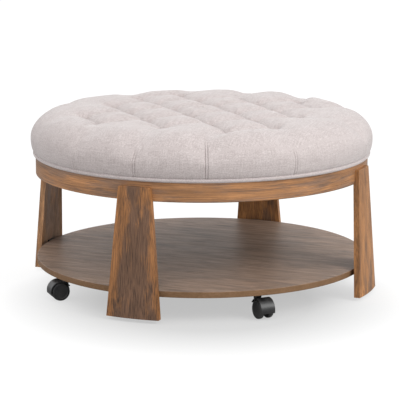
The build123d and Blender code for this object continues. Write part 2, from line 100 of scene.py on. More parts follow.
# Other sizes, in metres unless a line says otherwise
WELT_OUT, WELT_UP = 0.0012, 0.0036  # middle of the piping from the ring's top edge
WELT_FULLNESS = 0.0053  # radius of the filled piping
DUST_LIFT = 0.0002  # cloth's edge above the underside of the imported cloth
DUST_SAG = 0.003
DUST_RIPPLE = 0.004
STAPLE_COUNT = 72
STAPLE_INSET, STAPLE_DROP = 0.005, 0.0004  # from the cloth's edge, and below the cloth
LEG_TAPER = 0.0855  # half width that a leg loses for each metre of height
LEG_MIDDLE = 0.007  # middle line of a leg's face, beside the table's axis
CASTER_COUNT = 4
# Painted light on the floor: it glows for the camera only, dimmer round a middle near the table as a painted
# soft shadow, brighter farther out
PAINTED_SHADOW_MIDDLE = (0.1, -0.22, 0.0)
PAINTED_SHADOW_SPAN = (0.26, 0.54)  # distances between which the floor's painted glow rises out of its painted shadow
PAINTED_GLOW_NEAR, PAINTED_GLOW_MORE = 0.5, 0.34  # painted glow under the table, lower there as a painted shadow, and what comes to it farther out
FLOOR_BOUNCE = (0.42, 0.42, 0.42, 1.0)  # floor's colour as it lights the table
FLOOR_SEEN = (0.2, 0.2, 0.2, 1.0)  # and as the camera sees it, darker, before the painted glow
ZINC = (0.56, 0.56, 0.57, 1.0)
WHITE = (1.0, 1.0, 1.0, 1.0)


class OTTOMAN_PG_cushion(bpy.types.PropertyGroup):
    """Sizes of the tufted cushion"""
    crown_height: bpy.props.FloatProperty(
        name="Crown Height", description="Middle of the cushion above the ring", default=0.117, unit="LENGTH")
    crown_drop: bpy.props.FloatProperty(
        name="Crown Drop", description="Fall from the middle to where the shoulder begins",
        default=0.0075, unit="LENGTH")
    shoulder_width: bpy.props.FloatProperty(
        name="Shoulder Width", description="Start of the shoulder inside the ring's face",
        default=0.083, unit="LENGTH")
    side_overhang: bpy.props.FloatProperty(
        name="Side Overhang", description="Widest part of the side outside the ring's face",
        default=0.012, unit="LENGTH")
    bulge_height: bpy.props.FloatProperty(
        name="Bulge Height", description="Level of the widest part above the ring",
        default=0.043, unit="LENGTH")
    foot_overhang: bpy.props.FloatProperty(
        name="Foot Overhang", description="Lower edge outside the ring's face", default=0.0015, unit="LENGTH")
    foot_height: bpy.props.FloatProperty(
        name="Foot Height", description="Lower edge above the ring", default=0.0078, unit="LENGTH")
    tuft_step: bpy.props.FloatProperty(
        name="Tuft Step", description="Half the diagonal of one diamond", default=0.085, unit="LENGTH")
    dimple_reach: bpy.props.FloatProperty(
        name="Dimple Reach", description="Radius of the hollow round a button", default=0.038, unit="LENGTH")
    fold_depth: bpy.props.FloatProperty(
        name="Fold Depth", description="Depth of the diagonal folds", default=0.0148, unit="LENGTH")
    fold_reach: bpy.props.FloatProperty(
        name="Fold Reach", description="Half the width of a fold's rounded valley",
        default=0.056, unit="LENGTH")
    shoulder_depth: bpy.props.FloatProperty(
        name="Shoulder Depth", description="Depth of the valleys from the outer tufts over the shoulder",
        default=0.0105, unit="LENGTH")
    shoulder_reach: bpy.props.FloatProperty(
        name="Shoulder Reach", description="Half the width of those valleys", default=0.066, unit="LENGTH")
    pleat_depth: bpy.props.FloatProperty(
        name="Pleat Depth", description="Depth of the two creases of a pleat", default=0.0022, unit="LENGTH")
    pleat_half: bpy.props.FloatProperty(
        name="Pleat Half Width", description="From a pleat's middle to each crease",
        default=0.003, unit="LENGTH")
    pucker: bpy.props.FloatProperty(
        name="Pucker", description="Height of the small wrinkles round the tufts",
        default=0.0009, unit="LENGTH")
    pressure: bpy.props.FloatProperty(name="Pressure", description="Air that fills the cloth", default=4.0)
    most_swell: bpy.props.FloatProperty(
        name="Most Swell", description="Farthest that the filled cloth may move",
        default=0.006, unit="LENGTH")
    seed: bpy.props.IntProperty(name="Seed", description="Changes the wrinkles", default=7)


class OTTOMAN_PG_finish(bpy.types.PropertyGroup):
    """Colours of the finishes"""
    linen: bpy.props.FloatVectorProperty(
        name="Linen", description="Colour of the cushion's linen", size=4, subtype="COLOR",
        default=(0.675, 0.612, 0.602, 1.0), min=0.0, max=1.0)
    linen_shade: bpy.props.FloatVectorProperty(
        name="Linen Shade", description="Darker threads of the linen", size=4, subtype="COLOR",
        default=(0.42, 0.36, 0.352, 1.0), min=0.0, max=1.0)
    wood_light: bpy.props.FloatVectorProperty(
        name="Light Wood", description="Orange streaks of the legs", size=4, subtype="COLOR",
        default=(0.42, 0.188, 0.066, 1.0), min=0.0, max=1.0)
    wood_dark: bpy.props.FloatVectorProperty(
        name="Dark Wood", description="Dark fibres of the legs and ring", size=4, subtype="COLOR",
        default=(0.055, 0.03, 0.02, 1.0), min=0.0, max=1.0)
    wood_wash: bpy.props.FloatVectorProperty(
        name="Wood Wash", description="Grey brown wash over the legs", size=4, subtype="COLOR",
        default=(0.165, 0.092, 0.056, 1.0), min=0.0, max=1.0)
    shelf_light: bpy.props.FloatVectorProperty(
        name="Light Shelf", description="Lighter grain of the shelf", size=4, subtype="COLOR",
        default=(0.375, 0.25, 0.18, 1.0), min=0.0, max=1.0)
    shelf_dark: bpy.props.FloatVectorProperty(
        name="Dark Shelf", description="Darker grain of the shelf", size=4, subtype="COLOR",
        default=(0.115, 0.085, 0.069, 1.0), min=0.0, max=1.0)


class OTTOMAN_PG_studio(bpy.types.PropertyGroup):
    """Camera and light of the studio"""
    camera_distance: bpy.props.FloatProperty(
        name="Camera Distance", description="Camera from the table's axis, on the level",
        default=4.6879, unit="LENGTH")
    camera_azimuth: bpy.props.FloatProperty(
        name="Camera Azimuth", description="Camera's turn round the table",
        default=radians(21.6), subtype="ANGLE")
    camera_height: bpy.props.FloatProperty(
        name="Camera Height", description="Camera above the floor", default=1.1693, unit="LENGTH")
    camera_tilt: bpy.props.FloatProperty(
        name="Camera Tilt", description="Camera's look below the level", default=0.2013, subtype="ANGLE")
    camera_pan: bpy.props.FloatProperty(
        name="Camera Pan", description="Camera's look aside from the table's axis", default=0.0009,
        subtype="ANGLE")
    lens: bpy.props.FloatProperty(name="Lens", description="Focal length in millimetres", default=165.6)
    key_power: bpy.props.FloatProperty(
        name="Key Power", description="Strength of the main light", default=94.0, unit="POWER")
    fill_power: bpy.props.FloatProperty(
        name="Fill Power", description="Strength of the left light", default=14.0, unit="POWER")


# Node helpers

class Tree:
    """Short calls that build a node tree from left to right."""

    def __init__(self, tree):
        self.tree = tree
        self.count = 0

    def node(self, kind, **given):
        """New node: names in small letters are its settings, names with capitals its inputs."""
        made = self.tree.nodes.new(kind)
        made.location = (190 * (self.count % 12), -260 * (self.count // 12))
        self.count += 1
        for name in [name for name in given if name.islower()]:
            setattr(made, name, given.pop(name))
        return self.fill(made, **given)

    def fill(self, node, **inputs):
        """Give a node's inputs, spaces written as underscores, a value or another node's output."""
        for name, value in inputs.items():
            self.put(node.inputs[name.replace("_", " ")], value)
        return node

    def put(self, socket, value):
        if isinstance(value, bpy.types.NodeSocket):
            self.tree.links.new(value, socket)
        else:
            socket.default_value = value

    def group(self, name, build, **inputs):
        """Outputs of a shader node group, which is built at its first use."""
        group = bpy.data.node_groups.get(name) or build(name)
        return self.node("ShaderNodeGroup", node_tree=group, **inputs).outputs

    def first(self, kind, **given):
        """First output of a new node."""
        return self.node(kind, **given).outputs[0]

    def math(self, operation, first, second=0.0):
        """Result of a Math node."""
        made = self.node("ShaderNodeMath", operation=operation)
        self.put(made.inputs[0], first)
        self.put(made.inputs[1], second)
        return made.outputs[0]

    def add(self, first, second):
        return self.math("ADD", first, second)

    def minus(self, first, second):
        return self.math("SUBTRACT", first, second)

    def times(self, first, second):
        return self.math("MULTIPLY", first, second)

    def clamp(self, value):
        """Value held between 0 and 1."""
        return self.first("ShaderNodeClamp", Value=value)

    def split(self, vector):
        """X, Y and Z of a vector."""
        return self.node("ShaderNodeSeparateXYZ", Vector=vector).outputs

    def join(self, **parts):
        """Vector made of X, Y and Z."""
        return self.first("ShaderNodeCombineXYZ", **parts)

    def facing_up(self):
        """Z of the surface's normal."""
        return self.split(self.node("ShaderNodeNewGeometry").outputs["Normal"])["Z"]

    def noise(self, vector, scale, detail=3.0, roughness=0.55):
        return self.first("ShaderNodeTexNoise", Vector=vector, Scale=scale, Detail=detail,
                          Roughness=roughness)

    def stretch(self, vector, scale):
        """Coordinates multiplied along each axis."""
        return self.first("ShaderNodeMapping", Vector=vector, Scale=scale)

    def grain(self, vector, scale, detail, roughness=0.55):
        """Noise with its own scale along each axis."""
        return self.noise(self.stretch(vector, scale), 1.0, detail, roughness)

    def ramp(self, factor, low, high):
        """Factor spread to 0 at low and 1 at high."""
        return self.first("ShaderNodeMapRange", Value=factor, From_Min=low, From_Max=high)

    def blend(self, factor, first, second):
        """Two colours mixed by a factor."""
        made = self.node("ShaderNodeMix", data_type="RGBA", Factor=factor)
        self.put(made.inputs[6], first)
        self.put(made.inputs[7], second)
        return made.outputs[2]

    def bump(self, height, strength, distance):
        return self.first("ShaderNodeBump", Strength=strength, Distance=distance, Height=height)


def new_group(name, inputs, outputs):
    """Empty shader node group with sockets named by (name, kind, default) and (name, kind)."""
    group = bpy.data.node_groups.new(name, "ShaderNodeTree")
    add_inputs(group, inputs)
    for label, kind in outputs:
        group.interface.new_socket(name=label, in_out="OUTPUT", socket_type="NodeSocket" + kind)
    tree = Tree(group)
    return group, tree, tree.node("NodeGroupInput").outputs, tree.node("NodeGroupOutput").inputs


def add_inputs(group, inputs):
    """Input sockets of a node group, from (name, kind, default)."""
    for label, kind, default in inputs:
        socket = group.interface.new_socket(name=label, in_out="INPUT", socket_type="NodeSocket" + kind)
        if default is not None:
            socket.default_value = default


def wood_group(name):
    """Brushed wood: fibres along the vector's X, clear and washed patches, pores."""
    group, tree, start, end = new_group(
        name,
        [("Vector", "Vector", None), ("Light", "Color", None), ("Dark", "Color", None),
         ("Wash", "Color", None), ("Washed", "Float", 0.5), ("Clear", "Float", 0.0),
         ("Fibres", "Float", 0.6), ("Mottle", "Float", 1.0)],
        [("Color", "Color"), ("Roughness", "Float"), ("Height", "Float")])
    place = start["Vector"]
    sway = tree.times(tree.grain(place, (4.0, 12.0, 12.0), 2.0), 0.016)
    shifted = tree.node("ShaderNodeVectorMath", operation="ADD")
    tree.put(shifted.inputs[0], place)
    tree.put(shifted.inputs[1], tree.join(Y=sway, Z=sway))
    bent = shifted.outputs[0]
    broad = tree.grain(bent, (4.0, 60.0, 60.0), 3.0)
    fibre = tree.grain(bent, (9.0, 600.0, 600.0), 5.0, 0.62)
    pores = tree.grain(bent, (70.0, 950.0, 950.0), 2.0)
    patch = tree.grain(bent, (7.0, 26.0, 26.0), 4.0, 0.62)
    cloudy = tree.grain(place, (9.0, 30.0, 30.0), 2.0)

    torn = tree.add(patch, tree.times(tree.minus(fibre, 0.5), 0.35))
    level = tree.minus(0.72, tree.times(start["Washed"], 0.42))
    level = tree.add(level, tree.times(start["Clear"], 0.3))
    wash = tree.clamp(tree.times(tree.minus(torn, level), 7.0))
    dark = tree.times(tree.ramp(fibre, 0.49, 0.63), start["Fibres"])
    speck = tree.ramp(pores, 0.6, 0.72)
    colour = tree.blend(tree.times(tree.ramp(broad, 0.38, 0.66), 0.42), start["Light"], start["Dark"])
    colour = tree.blend(tree.times(wash, tree.times(start["Mottle"], 0.82)), colour, start["Wash"])
    colour = tree.blend(dark, colour, start["Dark"])
    colour = tree.blend(tree.times(speck, 0.4), colour, start["Dark"])
    cloud = tree.times(tree.minus(tree.ramp(cloudy, 0.3, 0.7), 0.5), tree.times(start["Mottle"], 0.4))
    bright = tree.add(tree.times(tree.ramp(fibre, 0.5, 0.34), 0.3), tree.add(cloud, 0.97))
    tree.put(end["Color"], tree.first("ShaderNodeHueSaturation", Color=colour, Value=bright))
    tree.put(end["Roughness"], tree.add(tree.times(dark, 0.2), 0.42))
    tree.put(end["Height"], tree.minus(tree.times(fibre, -0.7), tree.times(speck, 0.5)))
    return group


def weave_group(name):
    """Plain weave of slubby threads, in a vector measured in metres along the cloth."""
    group, tree, start, end = new_group(
        name,
        [("Vector", "Vector", None), ("Thread", "Float", 0.0011), ("Light", "Color", None),
         ("Dark", "Color", None)],
        [("Color", "Color"), ("Height", "Float")])
    place = start["Vector"]
    x, y, _ = tree.split(place)
    turn = tree.math("DIVIDE", pi, start["Thread"])
    across, along = (tree.math("SINE", tree.times(part, turn)) for part in (x, y))
    over = tree.times(tree.math("SIGN", tree.times(across, along)), 0.22)
    warp = tree.times(tree.math("ABSOLUTE", across), tree.add(0.7, over))
    weft = tree.times(tree.math("ABSOLUTE", along), tree.minus(0.7, over))
    threads = tree.math("MAXIMUM", warp, weft)
    slub_warp = tree.grain(place, (400.0, 30.0, 30.0), 2.0)
    slub_weft = tree.grain(place, (30.0, 400.0, 30.0), 2.0)
    slubs = tree.times(tree.add(slub_warp, slub_weft), 0.5)
    heather = tree.noise(place, 330.0, 2.0, 0.7)
    cloudy = tree.noise(place, 40.0)
    shade = tree.add(tree.times(tree.ramp(slubs, 0.4, 0.6), 0.42),
                     tree.times(tree.ramp(heather, 0.41, 0.59), 0.54))
    shade = tree.add(shade, tree.times(tree.ramp(cloudy, 0.3, 0.7), 0.16))
    dull = tree.times(tree.minus(1.0, threads), 0.4)
    factor = tree.clamp(tree.add(tree.times(shade, 0.8), dull))
    tree.put(end["Color"], tree.blend(factor, start["Light"], start["Dark"]))
    tree.put(end["Height"], tree.add(threads, tree.times(slubs, 0.8)))
    return group


def wear_group(name):
    """Handling marks: dust, most on faces that look up, and faint rubbing."""
    group, tree, start, end = new_group(
        name,
        [("Vector", "Vector", None), ("Color", "Color", None), ("Dust", "Color", (0.35, 0.33, 0.31, 1.0)),
         ("Amount", "Float", 0.2), ("Roughness", "Float", 0.4)],
        [("Color", "Color"), ("Roughness", "Float"), ("Height", "Float")])
    specks = tree.noise(start["Vector"], 900.0, 2.0)
    smudge = tree.noise(start["Vector"], 45.0, 4.0)
    lying = tree.ramp(tree.facing_up(), 0.2, 1.0)
    dust = tree.times(tree.times(tree.ramp(smudge, 0.35, 0.7), start["Amount"]),
                      tree.add(0.3, tree.times(lying, 0.7)))
    tree.put(end["Color"], tree.blend(dust, start["Color"], start["Dust"]))
    rough = tree.add(start["Roughness"], tree.times(smudge, 0.16))
    tree.put(end["Roughness"], tree.add(rough, tree.times(dust, 0.3)))
    tree.put(end["Height"], specks)
    return group


def new_material(name):
    """Material with a Principled shader, its tree helper and Object coordinates."""
    material = bpy.data.materials.new(name)
    material.use_nodes = True
    tree = Tree(material.node_tree)
    shader = material.node_tree.nodes["Principled BSDF"]
    return material, tree, shader, tree.node("ShaderNodeTexCoord").outputs["Object"]


def ring_vector(tree, place):
    """Coordinates round the table: length along the ring, distance from the axis, height."""
    x, y, z = tree.split(place)
    angle = tree.math("ARCTAN2", x, tree.times(y, -1.0))
    radius = tree.math("SQRT", tree.add(tree.math("POWER", x, 2.0), tree.math("POWER", y, 2.0)))
    return tree.join(X=tree.times(angle, RING_RADIUS), Y=radius, Z=z)


def wood_material(name, light, dark, wash, grain, washed, fibres, gloss=0.35, mottle=1.0, rim=None):
    """Wood with its grain along 'ring', 'up' (legs) or 'across' (boards), a rim in its own colour."""
    material, tree, shader, place = new_material(name)
    clear = 0.0
    if grain == "ring":
        place = tree.stretch(ring_vector(tree, place), (0.8, 1.5, 1.5))
    elif grain == "up":
        x, y, z = tree.split(place)
        across, along = (tree.math("ABSOLUTE", tree.minus(part, LEG_MIDDLE)) for part in (x, y))
        half = tree.minus(LEG_HALF_FOOT, tree.times(z, LEG_TAPER))
        clear = tree.ramp(tree.math("DIVIDE", tree.math("MINIMUM", across, along), half), 0.68, 0.95)
        # Painted shade: darker towards the foot of each leg, more wash and fibres below 0.2 m, where less
        # light reaches
        low = tree.ramp(z, 0.2, 0.0)
        washed = tree.add(washed, tree.times(low, 0.3))
        fibres = tree.add(fibres, tree.times(low, 0.16))
        place = tree.join(X=z, Y=x, Z=y)
    else:
        place = tree.first("ShaderNodeMapping", Vector=place, Location=(0.21, 0.13, 0.0))
    wood = tree.group("Wood Grain", wood_group, Vector=place, Light=light, Dark=dark, Wash=wash,
                      Washed=washed, Clear=clear, Fibres=fibres, Mottle=mottle)
    colour = wood["Color"]
    if rim is not None:
        upright = tree.ramp(tree.math("ABSOLUTE", tree.facing_up()), 0.9, 0.4)
        colour = tree.blend(upright, colour, tree.blend(0.75, colour, rim))
    tree.fill(shader, Base_Color=colour, Roughness=wood["Roughness"], Specular_IOR_Level=gloss,
              Normal=tree.bump(wood["Height"], 0.4, 0.0004))
    return material


def linen_material(name, light, dark, mapping):
    """Linen over a 'cushion' (flat crown, straight side), on the bias round a 'ring', or 'flat'."""
    material, tree, shader, place = new_material(name)
    if mapping != "flat":
        along, _, height = tree.split(ring_vector(tree, place))
    if mapping == "cushion":
        mixed = tree.node("ShaderNodeMix", data_type="VECTOR", Factor=tree.ramp(tree.facing_up(), 0.62, 0.7))
        tree.put(mixed.inputs[4], tree.join(X=along, Y=height))
        tree.put(mixed.inputs[5], place)
        place = mixed.outputs[1]
    if mapping == "ring":
        place = tree.join(X=tree.add(along, height), Y=tree.minus(along, height))
    cloth = tree.group("Linen Weave", weave_group, Vector=place, Light=light, Dark=dark)
    tree.fill(shader, Base_Color=cloth["Color"], Normal=tree.bump(cloth["Height"], 0.5, 0.0005),
              Roughness=0.92, Sheen_Weight=0.45, Sheen_Roughness=0.4, Specular_IOR_Level=0.15)
    return material


def plain_material(name, colour, roughness, metallic=0.0, dust=0.1, relief=0.15, specular=0.5):
    """Plastic, rubber or metal with fine relief, smudges and a little dust."""
    material, tree, shader, place = new_material(name)
    worn = tree.group("Dust And Rub", wear_group, Vector=place, Color=colour, Amount=dust,
                      Roughness=roughness)
    tree.fill(shader, Base_Color=worn["Color"], Roughness=worn["Roughness"], Metallic=metallic,
              Normal=tree.bump(worn["Height"], relief, 0.0002), Specular_IOR_Level=specular)
    return material


def set_material(piece, material):
    """Give a piece or a CAD node its finish."""
    piece.data.materials.clear()
    piece.data.materials.append(material)


def new_piece(name, mesh):
    piece = bpy.data.objects.new(name, mesh)
    bpy.context.scene.collection.objects.link(piece)
    return piece


# Cushion

def tuft_places(step, reach):
    """Grid places of the tufts: odd sums, out to the crown's edge."""
    most = int(reach / step)
    span = range(-most, most + 1)
    return [(i, j) for j in span for i in span if (i + j) % 2 and hypot(i, j) * step < reach]


def fold_lines(places):
    """First and last tuft along each diagonal fold."""
    lines = []
    for slope in (1, -1):
        for order in sorted({i - slope * j for i, j in places}):
            row = sorted(p for p in places if p[0] - slope * p[1] == order)
            if len(row) > 1:
                lines.append((row[0], row[-1]))
    return lines


def pleat_lines(places, radius):
    """Of each pleat: its outer tuft on the grid, its point on the rim, its strength and its top."""
    lines = []
    for i, j in places:
        ahead = [(i - 1, j - 1), (i + 1, j - 1)] if -j >= i else [(i + 1, j - 1), (i + 1, j + 1)]
        if i < 0 or j > 0 or any(place in places for place in ahead):
            continue
        own = degrees(atan2(i, -j))
        azimuth = min(PLEATS, key=lambda angle: abs(angle - own))
        x, y = radius * sin(radians(azimuth)), -radius * cos(radians(azimuth))
        strength, top = PLEATS[azimuth]
        for side in sorted({1 if i else 0, -1 if i else 0}):
            share = LEFT_PLEATS if side < 0 else 1.0
            for end in sorted({1 if j else 0, -1 if j else 0}):
                lines.append(((side * i, end * j), (side * x, end * y), strength * share, top))
    return lines


def pleat_paths(sizes):
    """Of each pleat: turn on the rim, turn and radius of its outer tuft, strength and top."""
    places = tuft_places(sizes.tuft_step, RING_RADIUS - sizes.shoulder_width)
    return [(atan2(rim[1], rim[0]), atan2(place[1], place[0]), hypot(*place) * sizes.tuft_step, strength, top)
            for place, rim, strength, top in pleat_lines(places, RING_RADIUS + sizes.side_overhang)]


def along_ellipse(start, end, count, upright_end):
    """Points of a quarter ellipse between two (radius, level) points, its start left out."""
    points = []
    for step in range(1, count + 1):
        turn = step / count * pi / 2
        share_r, share_z = (sin(turn), 1 - cos(turn)) if upright_end else (1 - cos(turn), sin(turn))
        points.append((start[0] + (end[0] - start[0]) * share_r, start[1] + (end[1] - start[1]) * share_z))
    return points


def cushion_rows(sizes, top_rows, shoulder_rows, side_rows):
    """(radius, level) rows of the cushion from near the crown's middle down to its base."""
    edge = (RING_RADIUS - sizes.shoulder_width, RING_TOP + sizes.crown_height - sizes.crown_drop)
    bulge = (RING_RADIUS + sizes.side_overhang, RING_TOP + sizes.bulge_height)
    foot = (RING_RADIUS + sizes.foot_overhang, RING_TOP + sizes.foot_height)
    wall = RING_RADIUS - 2 * WELT_RADIUS - WALL_GAP
    hem = DUST_RADIUS - HEM_INSET
    rows = []
    for step in range(1, top_rows + 1):
        share = step / top_rows
        rows.append((edge[0] * share, edge[1] + sizes.crown_drop * (1 - share ** 2)))
    rows += along_ellipse(edge, bulge, shoulder_rows, True)
    rows += along_ellipse(bulge, foot, side_rows, False)
    rows += [(wall + 0.004, foot[1]), (wall, foot[1] - 0.001), (wall, RING_TOP + 0.001),
             (wall - 0.001, RING_TOP), ((wall + hem) / 2, RING_TOP), (hem, RING_TOP)]
    return rows + [(hem * share, BOARD_BOTTOM) for share in (1.0, 0.6, 0.2)]


def even_turns(count):
    return np.arange(count) * (2 * pi / count)


def turned_rows(rows, turns):
    """Points of each (radius, level) row at each turn; the turns may differ from row to row."""
    radius, level = np.array(rows).T
    turns = np.broadcast_to(turns, (len(rows), np.shape(turns)[-1]))
    return np.stack([radius[:, None] * np.cos(turns), radius[:, None] * np.sin(turns),
                     np.broadcast_to(level[:, None], turns.shape)], axis=-1)


def polar_mesh(name, places, top, bottom=None):
    """Round mesh of turned rows, with a point at the top of its axis, and closed at the bottom if given."""
    rows, count = places.shape[:2]
    poles = [(0, 0, level) for level in (top, bottom) if level is not None]
    faces = []
    for row in range(rows - 1):
        first = row * count
        for k in range(count):
            after = (k + 1) % count
            faces.append((first + k, first + count + k, first + count + after, first + after))
    last, pole = (rows - 1) * count, rows * count
    for k in range(count):
        after = (k + 1) % count
        faces.append((pole, k, after))
        if bottom is not None:
            faces.append((pole + 1, last + after, last + k))
    mesh = bpy.data.meshes.new(name)
    mesh.from_pydata(np.vstack([places.reshape(-1, 3), poles]).tolist(), [], faces)
    mesh.update()
    return mesh


def mesh_vectors(mesh, name="co"):
    """Place or 'normal' of each point of a mesh."""
    vectors = np.empty(len(mesh.vertices) * 3)
    mesh.vertices.foreach_get(name, vectors)
    return vectors.reshape(-1, 3)


def from_segment(points, start, end):
    """Distance of each point from a segment, seen from above."""
    way = np.array(end) - np.array(start)
    length = np.hypot(*way)
    way = way / length
    offset = points[..., :2] - np.array(start)
    along = offset @ way
    side = offset[..., 0] * way[1] - offset[..., 1] * way[0]
    return np.hypot(along - np.clip(along, 0.0, length), side)


def hollow(distance, reach):
    """1 on a fold's line, falling smoothly to 0 at its reach."""
    return 0.5 + 0.5 * np.cos(pi * np.clip(distance / reach, 0.0, 1.0))


def bell(distance, width):
    """1 in the middle, falling off over a width."""
    return np.exp(-(distance / width) ** 2)


def eased(value, low, high):
    """0 below low, 1 above high, smooth between."""
    share = np.clip((value - low) / (high - low), 0.0, 1.0)
    return share * share * (3 - 2 * share)


def wrapped(turn):
    return (turn + pi) % (2 * pi) - pi


def bent_turns(rows, turns, paths):
    """Turns of each row's points, led aside so that the close columns follow the pleats to their tufts."""
    radius = np.array(rows)[:, :1]
    bent = np.broadcast_to(turns, (len(rows), len(turns))).copy()
    for rim, tuft, start, *_ in paths:
        near = hollow(np.abs(wrapped(turns - rim)), radians(20))
        share = np.where(radius > start, 1 - eased(radius, start, start + TUFT_TURN_END),
                         (radius / start) ** 1.5)
        bent += wrapped(tuft - rim) * near[None, :] * share
    return bent


def close_turns(even_count, paths):
    """Even turns round the cushion, with close ones about each pleat."""
    rims = [path[0] for path in paths]
    free = [turn for turn in even_turns(even_count)
            if min(abs(wrapped(turn - rim)) for rim in rims) > PLEAT_CLEARANCE / RING_RADIUS]
    offsets = {side * offset for offset in PLEAT_COLUMNS / RING_RADIUS for side in (1, -1)}
    return np.sort(np.array(free + [rim + offset for rim in rims for offset in offsets]) % (2 * pi))


def tufted_drop(points, turns, sizes, paths):
    """Depth of the tufts, folds, shoulder valleys, pleats and puckers below the smooth cushion."""
    reach = RING_RADIUS - sizes.shoulder_width
    spots = {place: np.array(place) * sizes.tuft_step for place in tuft_places(sizes.tuft_step, reach)}
    random = np.random.default_rng(sizes.seed)
    x, y = points[..., 0], points[..., 1]
    radius, height = np.hypot(x, y), points[..., 2] - RING_TOP
    above = eased(height, sizes.bulge_height, sizes.crown_height - CROWN_FADE)
    fold, crease, valley, pleat, dimple, pucker = np.zeros((6, *radius.shape))

    for first, last in fold_lines(spots):
        distance = from_segment(points, spots[first], spots[last])
        cusp = np.clip(1 - distance / (CUSP_SHARE * sizes.fold_reach), 0.0, 1.0) ** 1.6
        fold = np.maximum(fold, 0.5 * hollow(distance, sizes.fold_reach) + 0.5 * cusp)
        crease = np.maximum(crease, bell(distance, CREASE_WIDTH))
    nearest = np.min([np.hypot(x - spot_x, y - spot_y) for spot_x, spot_y in spots.values()], axis=0)
    fold = sizes.fold_depth * fold + CREASE_DEPTH * crease * bell(nearest, CREASE_REACH)

    for rim, _, start, strength, top in paths:
        aside = np.abs(wrapped(turns - rim)) * radius
        beyond = eased(radius, start - 0.012, start + 0.03)
        valley = np.maximum(valley, hollow(aside, sizes.shoulder_reach) * beyond * (0.4 + 0.6 * strength))
        lines = bell(aside - sizes.pleat_half, PLEAT_WIDTH)
        pleat += lines * strength * sizes.pleat_depth * (1 - eased(height, top - PLEAT_FADE, top))
        tail = TAIL_DEPTH * bell(aside, TAIL_WIDTH) * eased(radius, start - 0.01, start)
        fold = np.maximum(fold, tail * (1 - eased(radius, start + 0.015, start + 0.07)))
    fold = np.maximum(fold, sizes.shoulder_depth * valley)

    for spot_x, spot_y in spots.values():
        distance = np.hypot(x - spot_x, y - spot_y)
        crown = sizes.crown_height - sizes.crown_drop * (hypot(spot_x, spot_y) / reach) ** 2
        depth = crown - (BUTTON_LEVEL - RING_TOP) - BUTTON_SINK
        share = np.clip(1 - (distance - BUTTON_SEAT) / sizes.dimple_reach, 0.0, 1.0)
        dimple = np.maximum(dimple, depth * share ** 2.2)
        angle = np.arctan2(y - spot_y, x - spot_x)
        count, phase = random.integers(5, 9), random.uniform(0, 2 * pi)
        waves = np.cos(count * angle + phase + 0.6 * np.sin(angle * 3 + phase))
        pucker += bell(distance - PUCKER_RADIUS, PUCKER_WIDTH) * waves * sizes.pucker

    low = np.exp(-np.clip(height - sizes.foot_height, 0.0, None) / GATHER_HEIGHT)
    outside = radius > RING_RADIUS - 0.004
    gather = GATHER_DEPTH * low * outside * np.sin(67 * turns + 1.7 * np.sin(5 * turns))
    uneven = UNEVEN_DEPTH * (np.sin(3 * turns + 1.0) + np.sin(7 * turns + 2.2) * 0.6) * above
    return (fold ** 3 + dimple ** 3) ** (1 / 3) * above + pleat + (pucker + uneven) * above + gather


def cushion_points(rows, turns, sizes, paths):
    """Points of the tufted form, row by row, before the cloth is filled."""
    places = turned_rows(rows, bent_turns(rows, turns, paths))
    smooth = polar_mesh("smooth", places, rows[0][1], rows[-1][1])
    normals = mesh_vectors(smooth, "normal")[:-2].reshape(places.shape)
    bpy.data.meshes.remove(smooth)
    upper = places[..., 2] > RING_TOP + sizes.foot_height - 0.0005
    own = np.broadcast_to(turns, upper.shape)
    drop = np.where(upper, tufted_drop(places, own, sizes, paths), 0.0)
    return places - normals * drop[..., None]


def cloth_swell(mesh, held, sizes):
    """Way each point of a mesh moves when its cloth is filled with air and held at its tufts."""
    before = mesh_vectors(mesh)
    piece = new_piece("swelling", mesh)
    group = piece.vertex_groups.new(name="held")
    for index, share in enumerate(held):
        group.add([index], float(share), "REPLACE")
    cloth = piece.modifiers.new("cloth", "CLOTH")
    for name, value in CLOTH.items():
        setattr(cloth.settings, name, value)
    cloth.settings.uniform_pressure_force = sizes.pressure
    cloth.settings.effector_weights.gravity = 0.0
    cloth.point_cache.frame_start, cloth.point_cache.frame_end = 1, CLOTH_FRAMES
    scene = bpy.context.scene
    for frame_number in range(1, CLOTH_FRAMES + 1):
        scene.frame_set(frame_number)
    moved = bpy.data.meshes.new_from_object(piece.evaluated_get(bpy.context.evaluated_depsgraph_get()))
    way = mesh_vectors(moved) - before
    scene.frame_set(1)
    bpy.data.objects.remove(piece)
    length = np.linalg.norm(way, axis=1, keepdims=True)
    return way * np.minimum(1.0, sizes.most_swell / np.maximum(length, 1e-9))


def swollen_way(rows, turns, sizes, paths):
    """The filled cloth's way at every row and turn, worked out on a coarser copy of the cushion."""
    picked = sorted(set(range(0, len(rows), COARSE_STEP)) | {len(rows) - 1})
    even = even_turns(COARSE_TURNS)
    places = cushion_points([rows[index] for index in picked], even, sizes, paths)
    mesh = polar_mesh("coarse", places, rows[0][1], rows[-1][1])
    spots = np.array(tuft_places(sizes.tuft_step, RING_RADIUS - sizes.shoulder_width)) * sizes.tuft_step
    points = mesh_vectors(mesh)
    nearest = np.min(np.hypot(points[:, :1] - spots[:, 0], points[:, 1:2] - spots[:, 1]), axis=1)
    tuft = 1 - eased(nearest, *HELD_TUFT)
    low = 1 - eased(points[:, 2] - RING_TOP, *(sizes.foot_height + rise for rise in HELD_FOOT))
    way = cloth_swell(mesh, np.maximum(tuft, low), sizes)[:-2].reshape(places.shape)
    full = np.empty((len(rows), len(even), 3))
    fine = np.empty((len(rows), len(turns), 3))
    for axis in range(3):
        for k in range(len(even)):
            full[:, k, axis] = np.interp(np.arange(len(rows)), picked, way[:, k, axis])
        for row in range(len(rows)):
            fine[row, :, axis] = np.interp(turns, even, full[row, :, axis], period=2 * pi)
    return fine


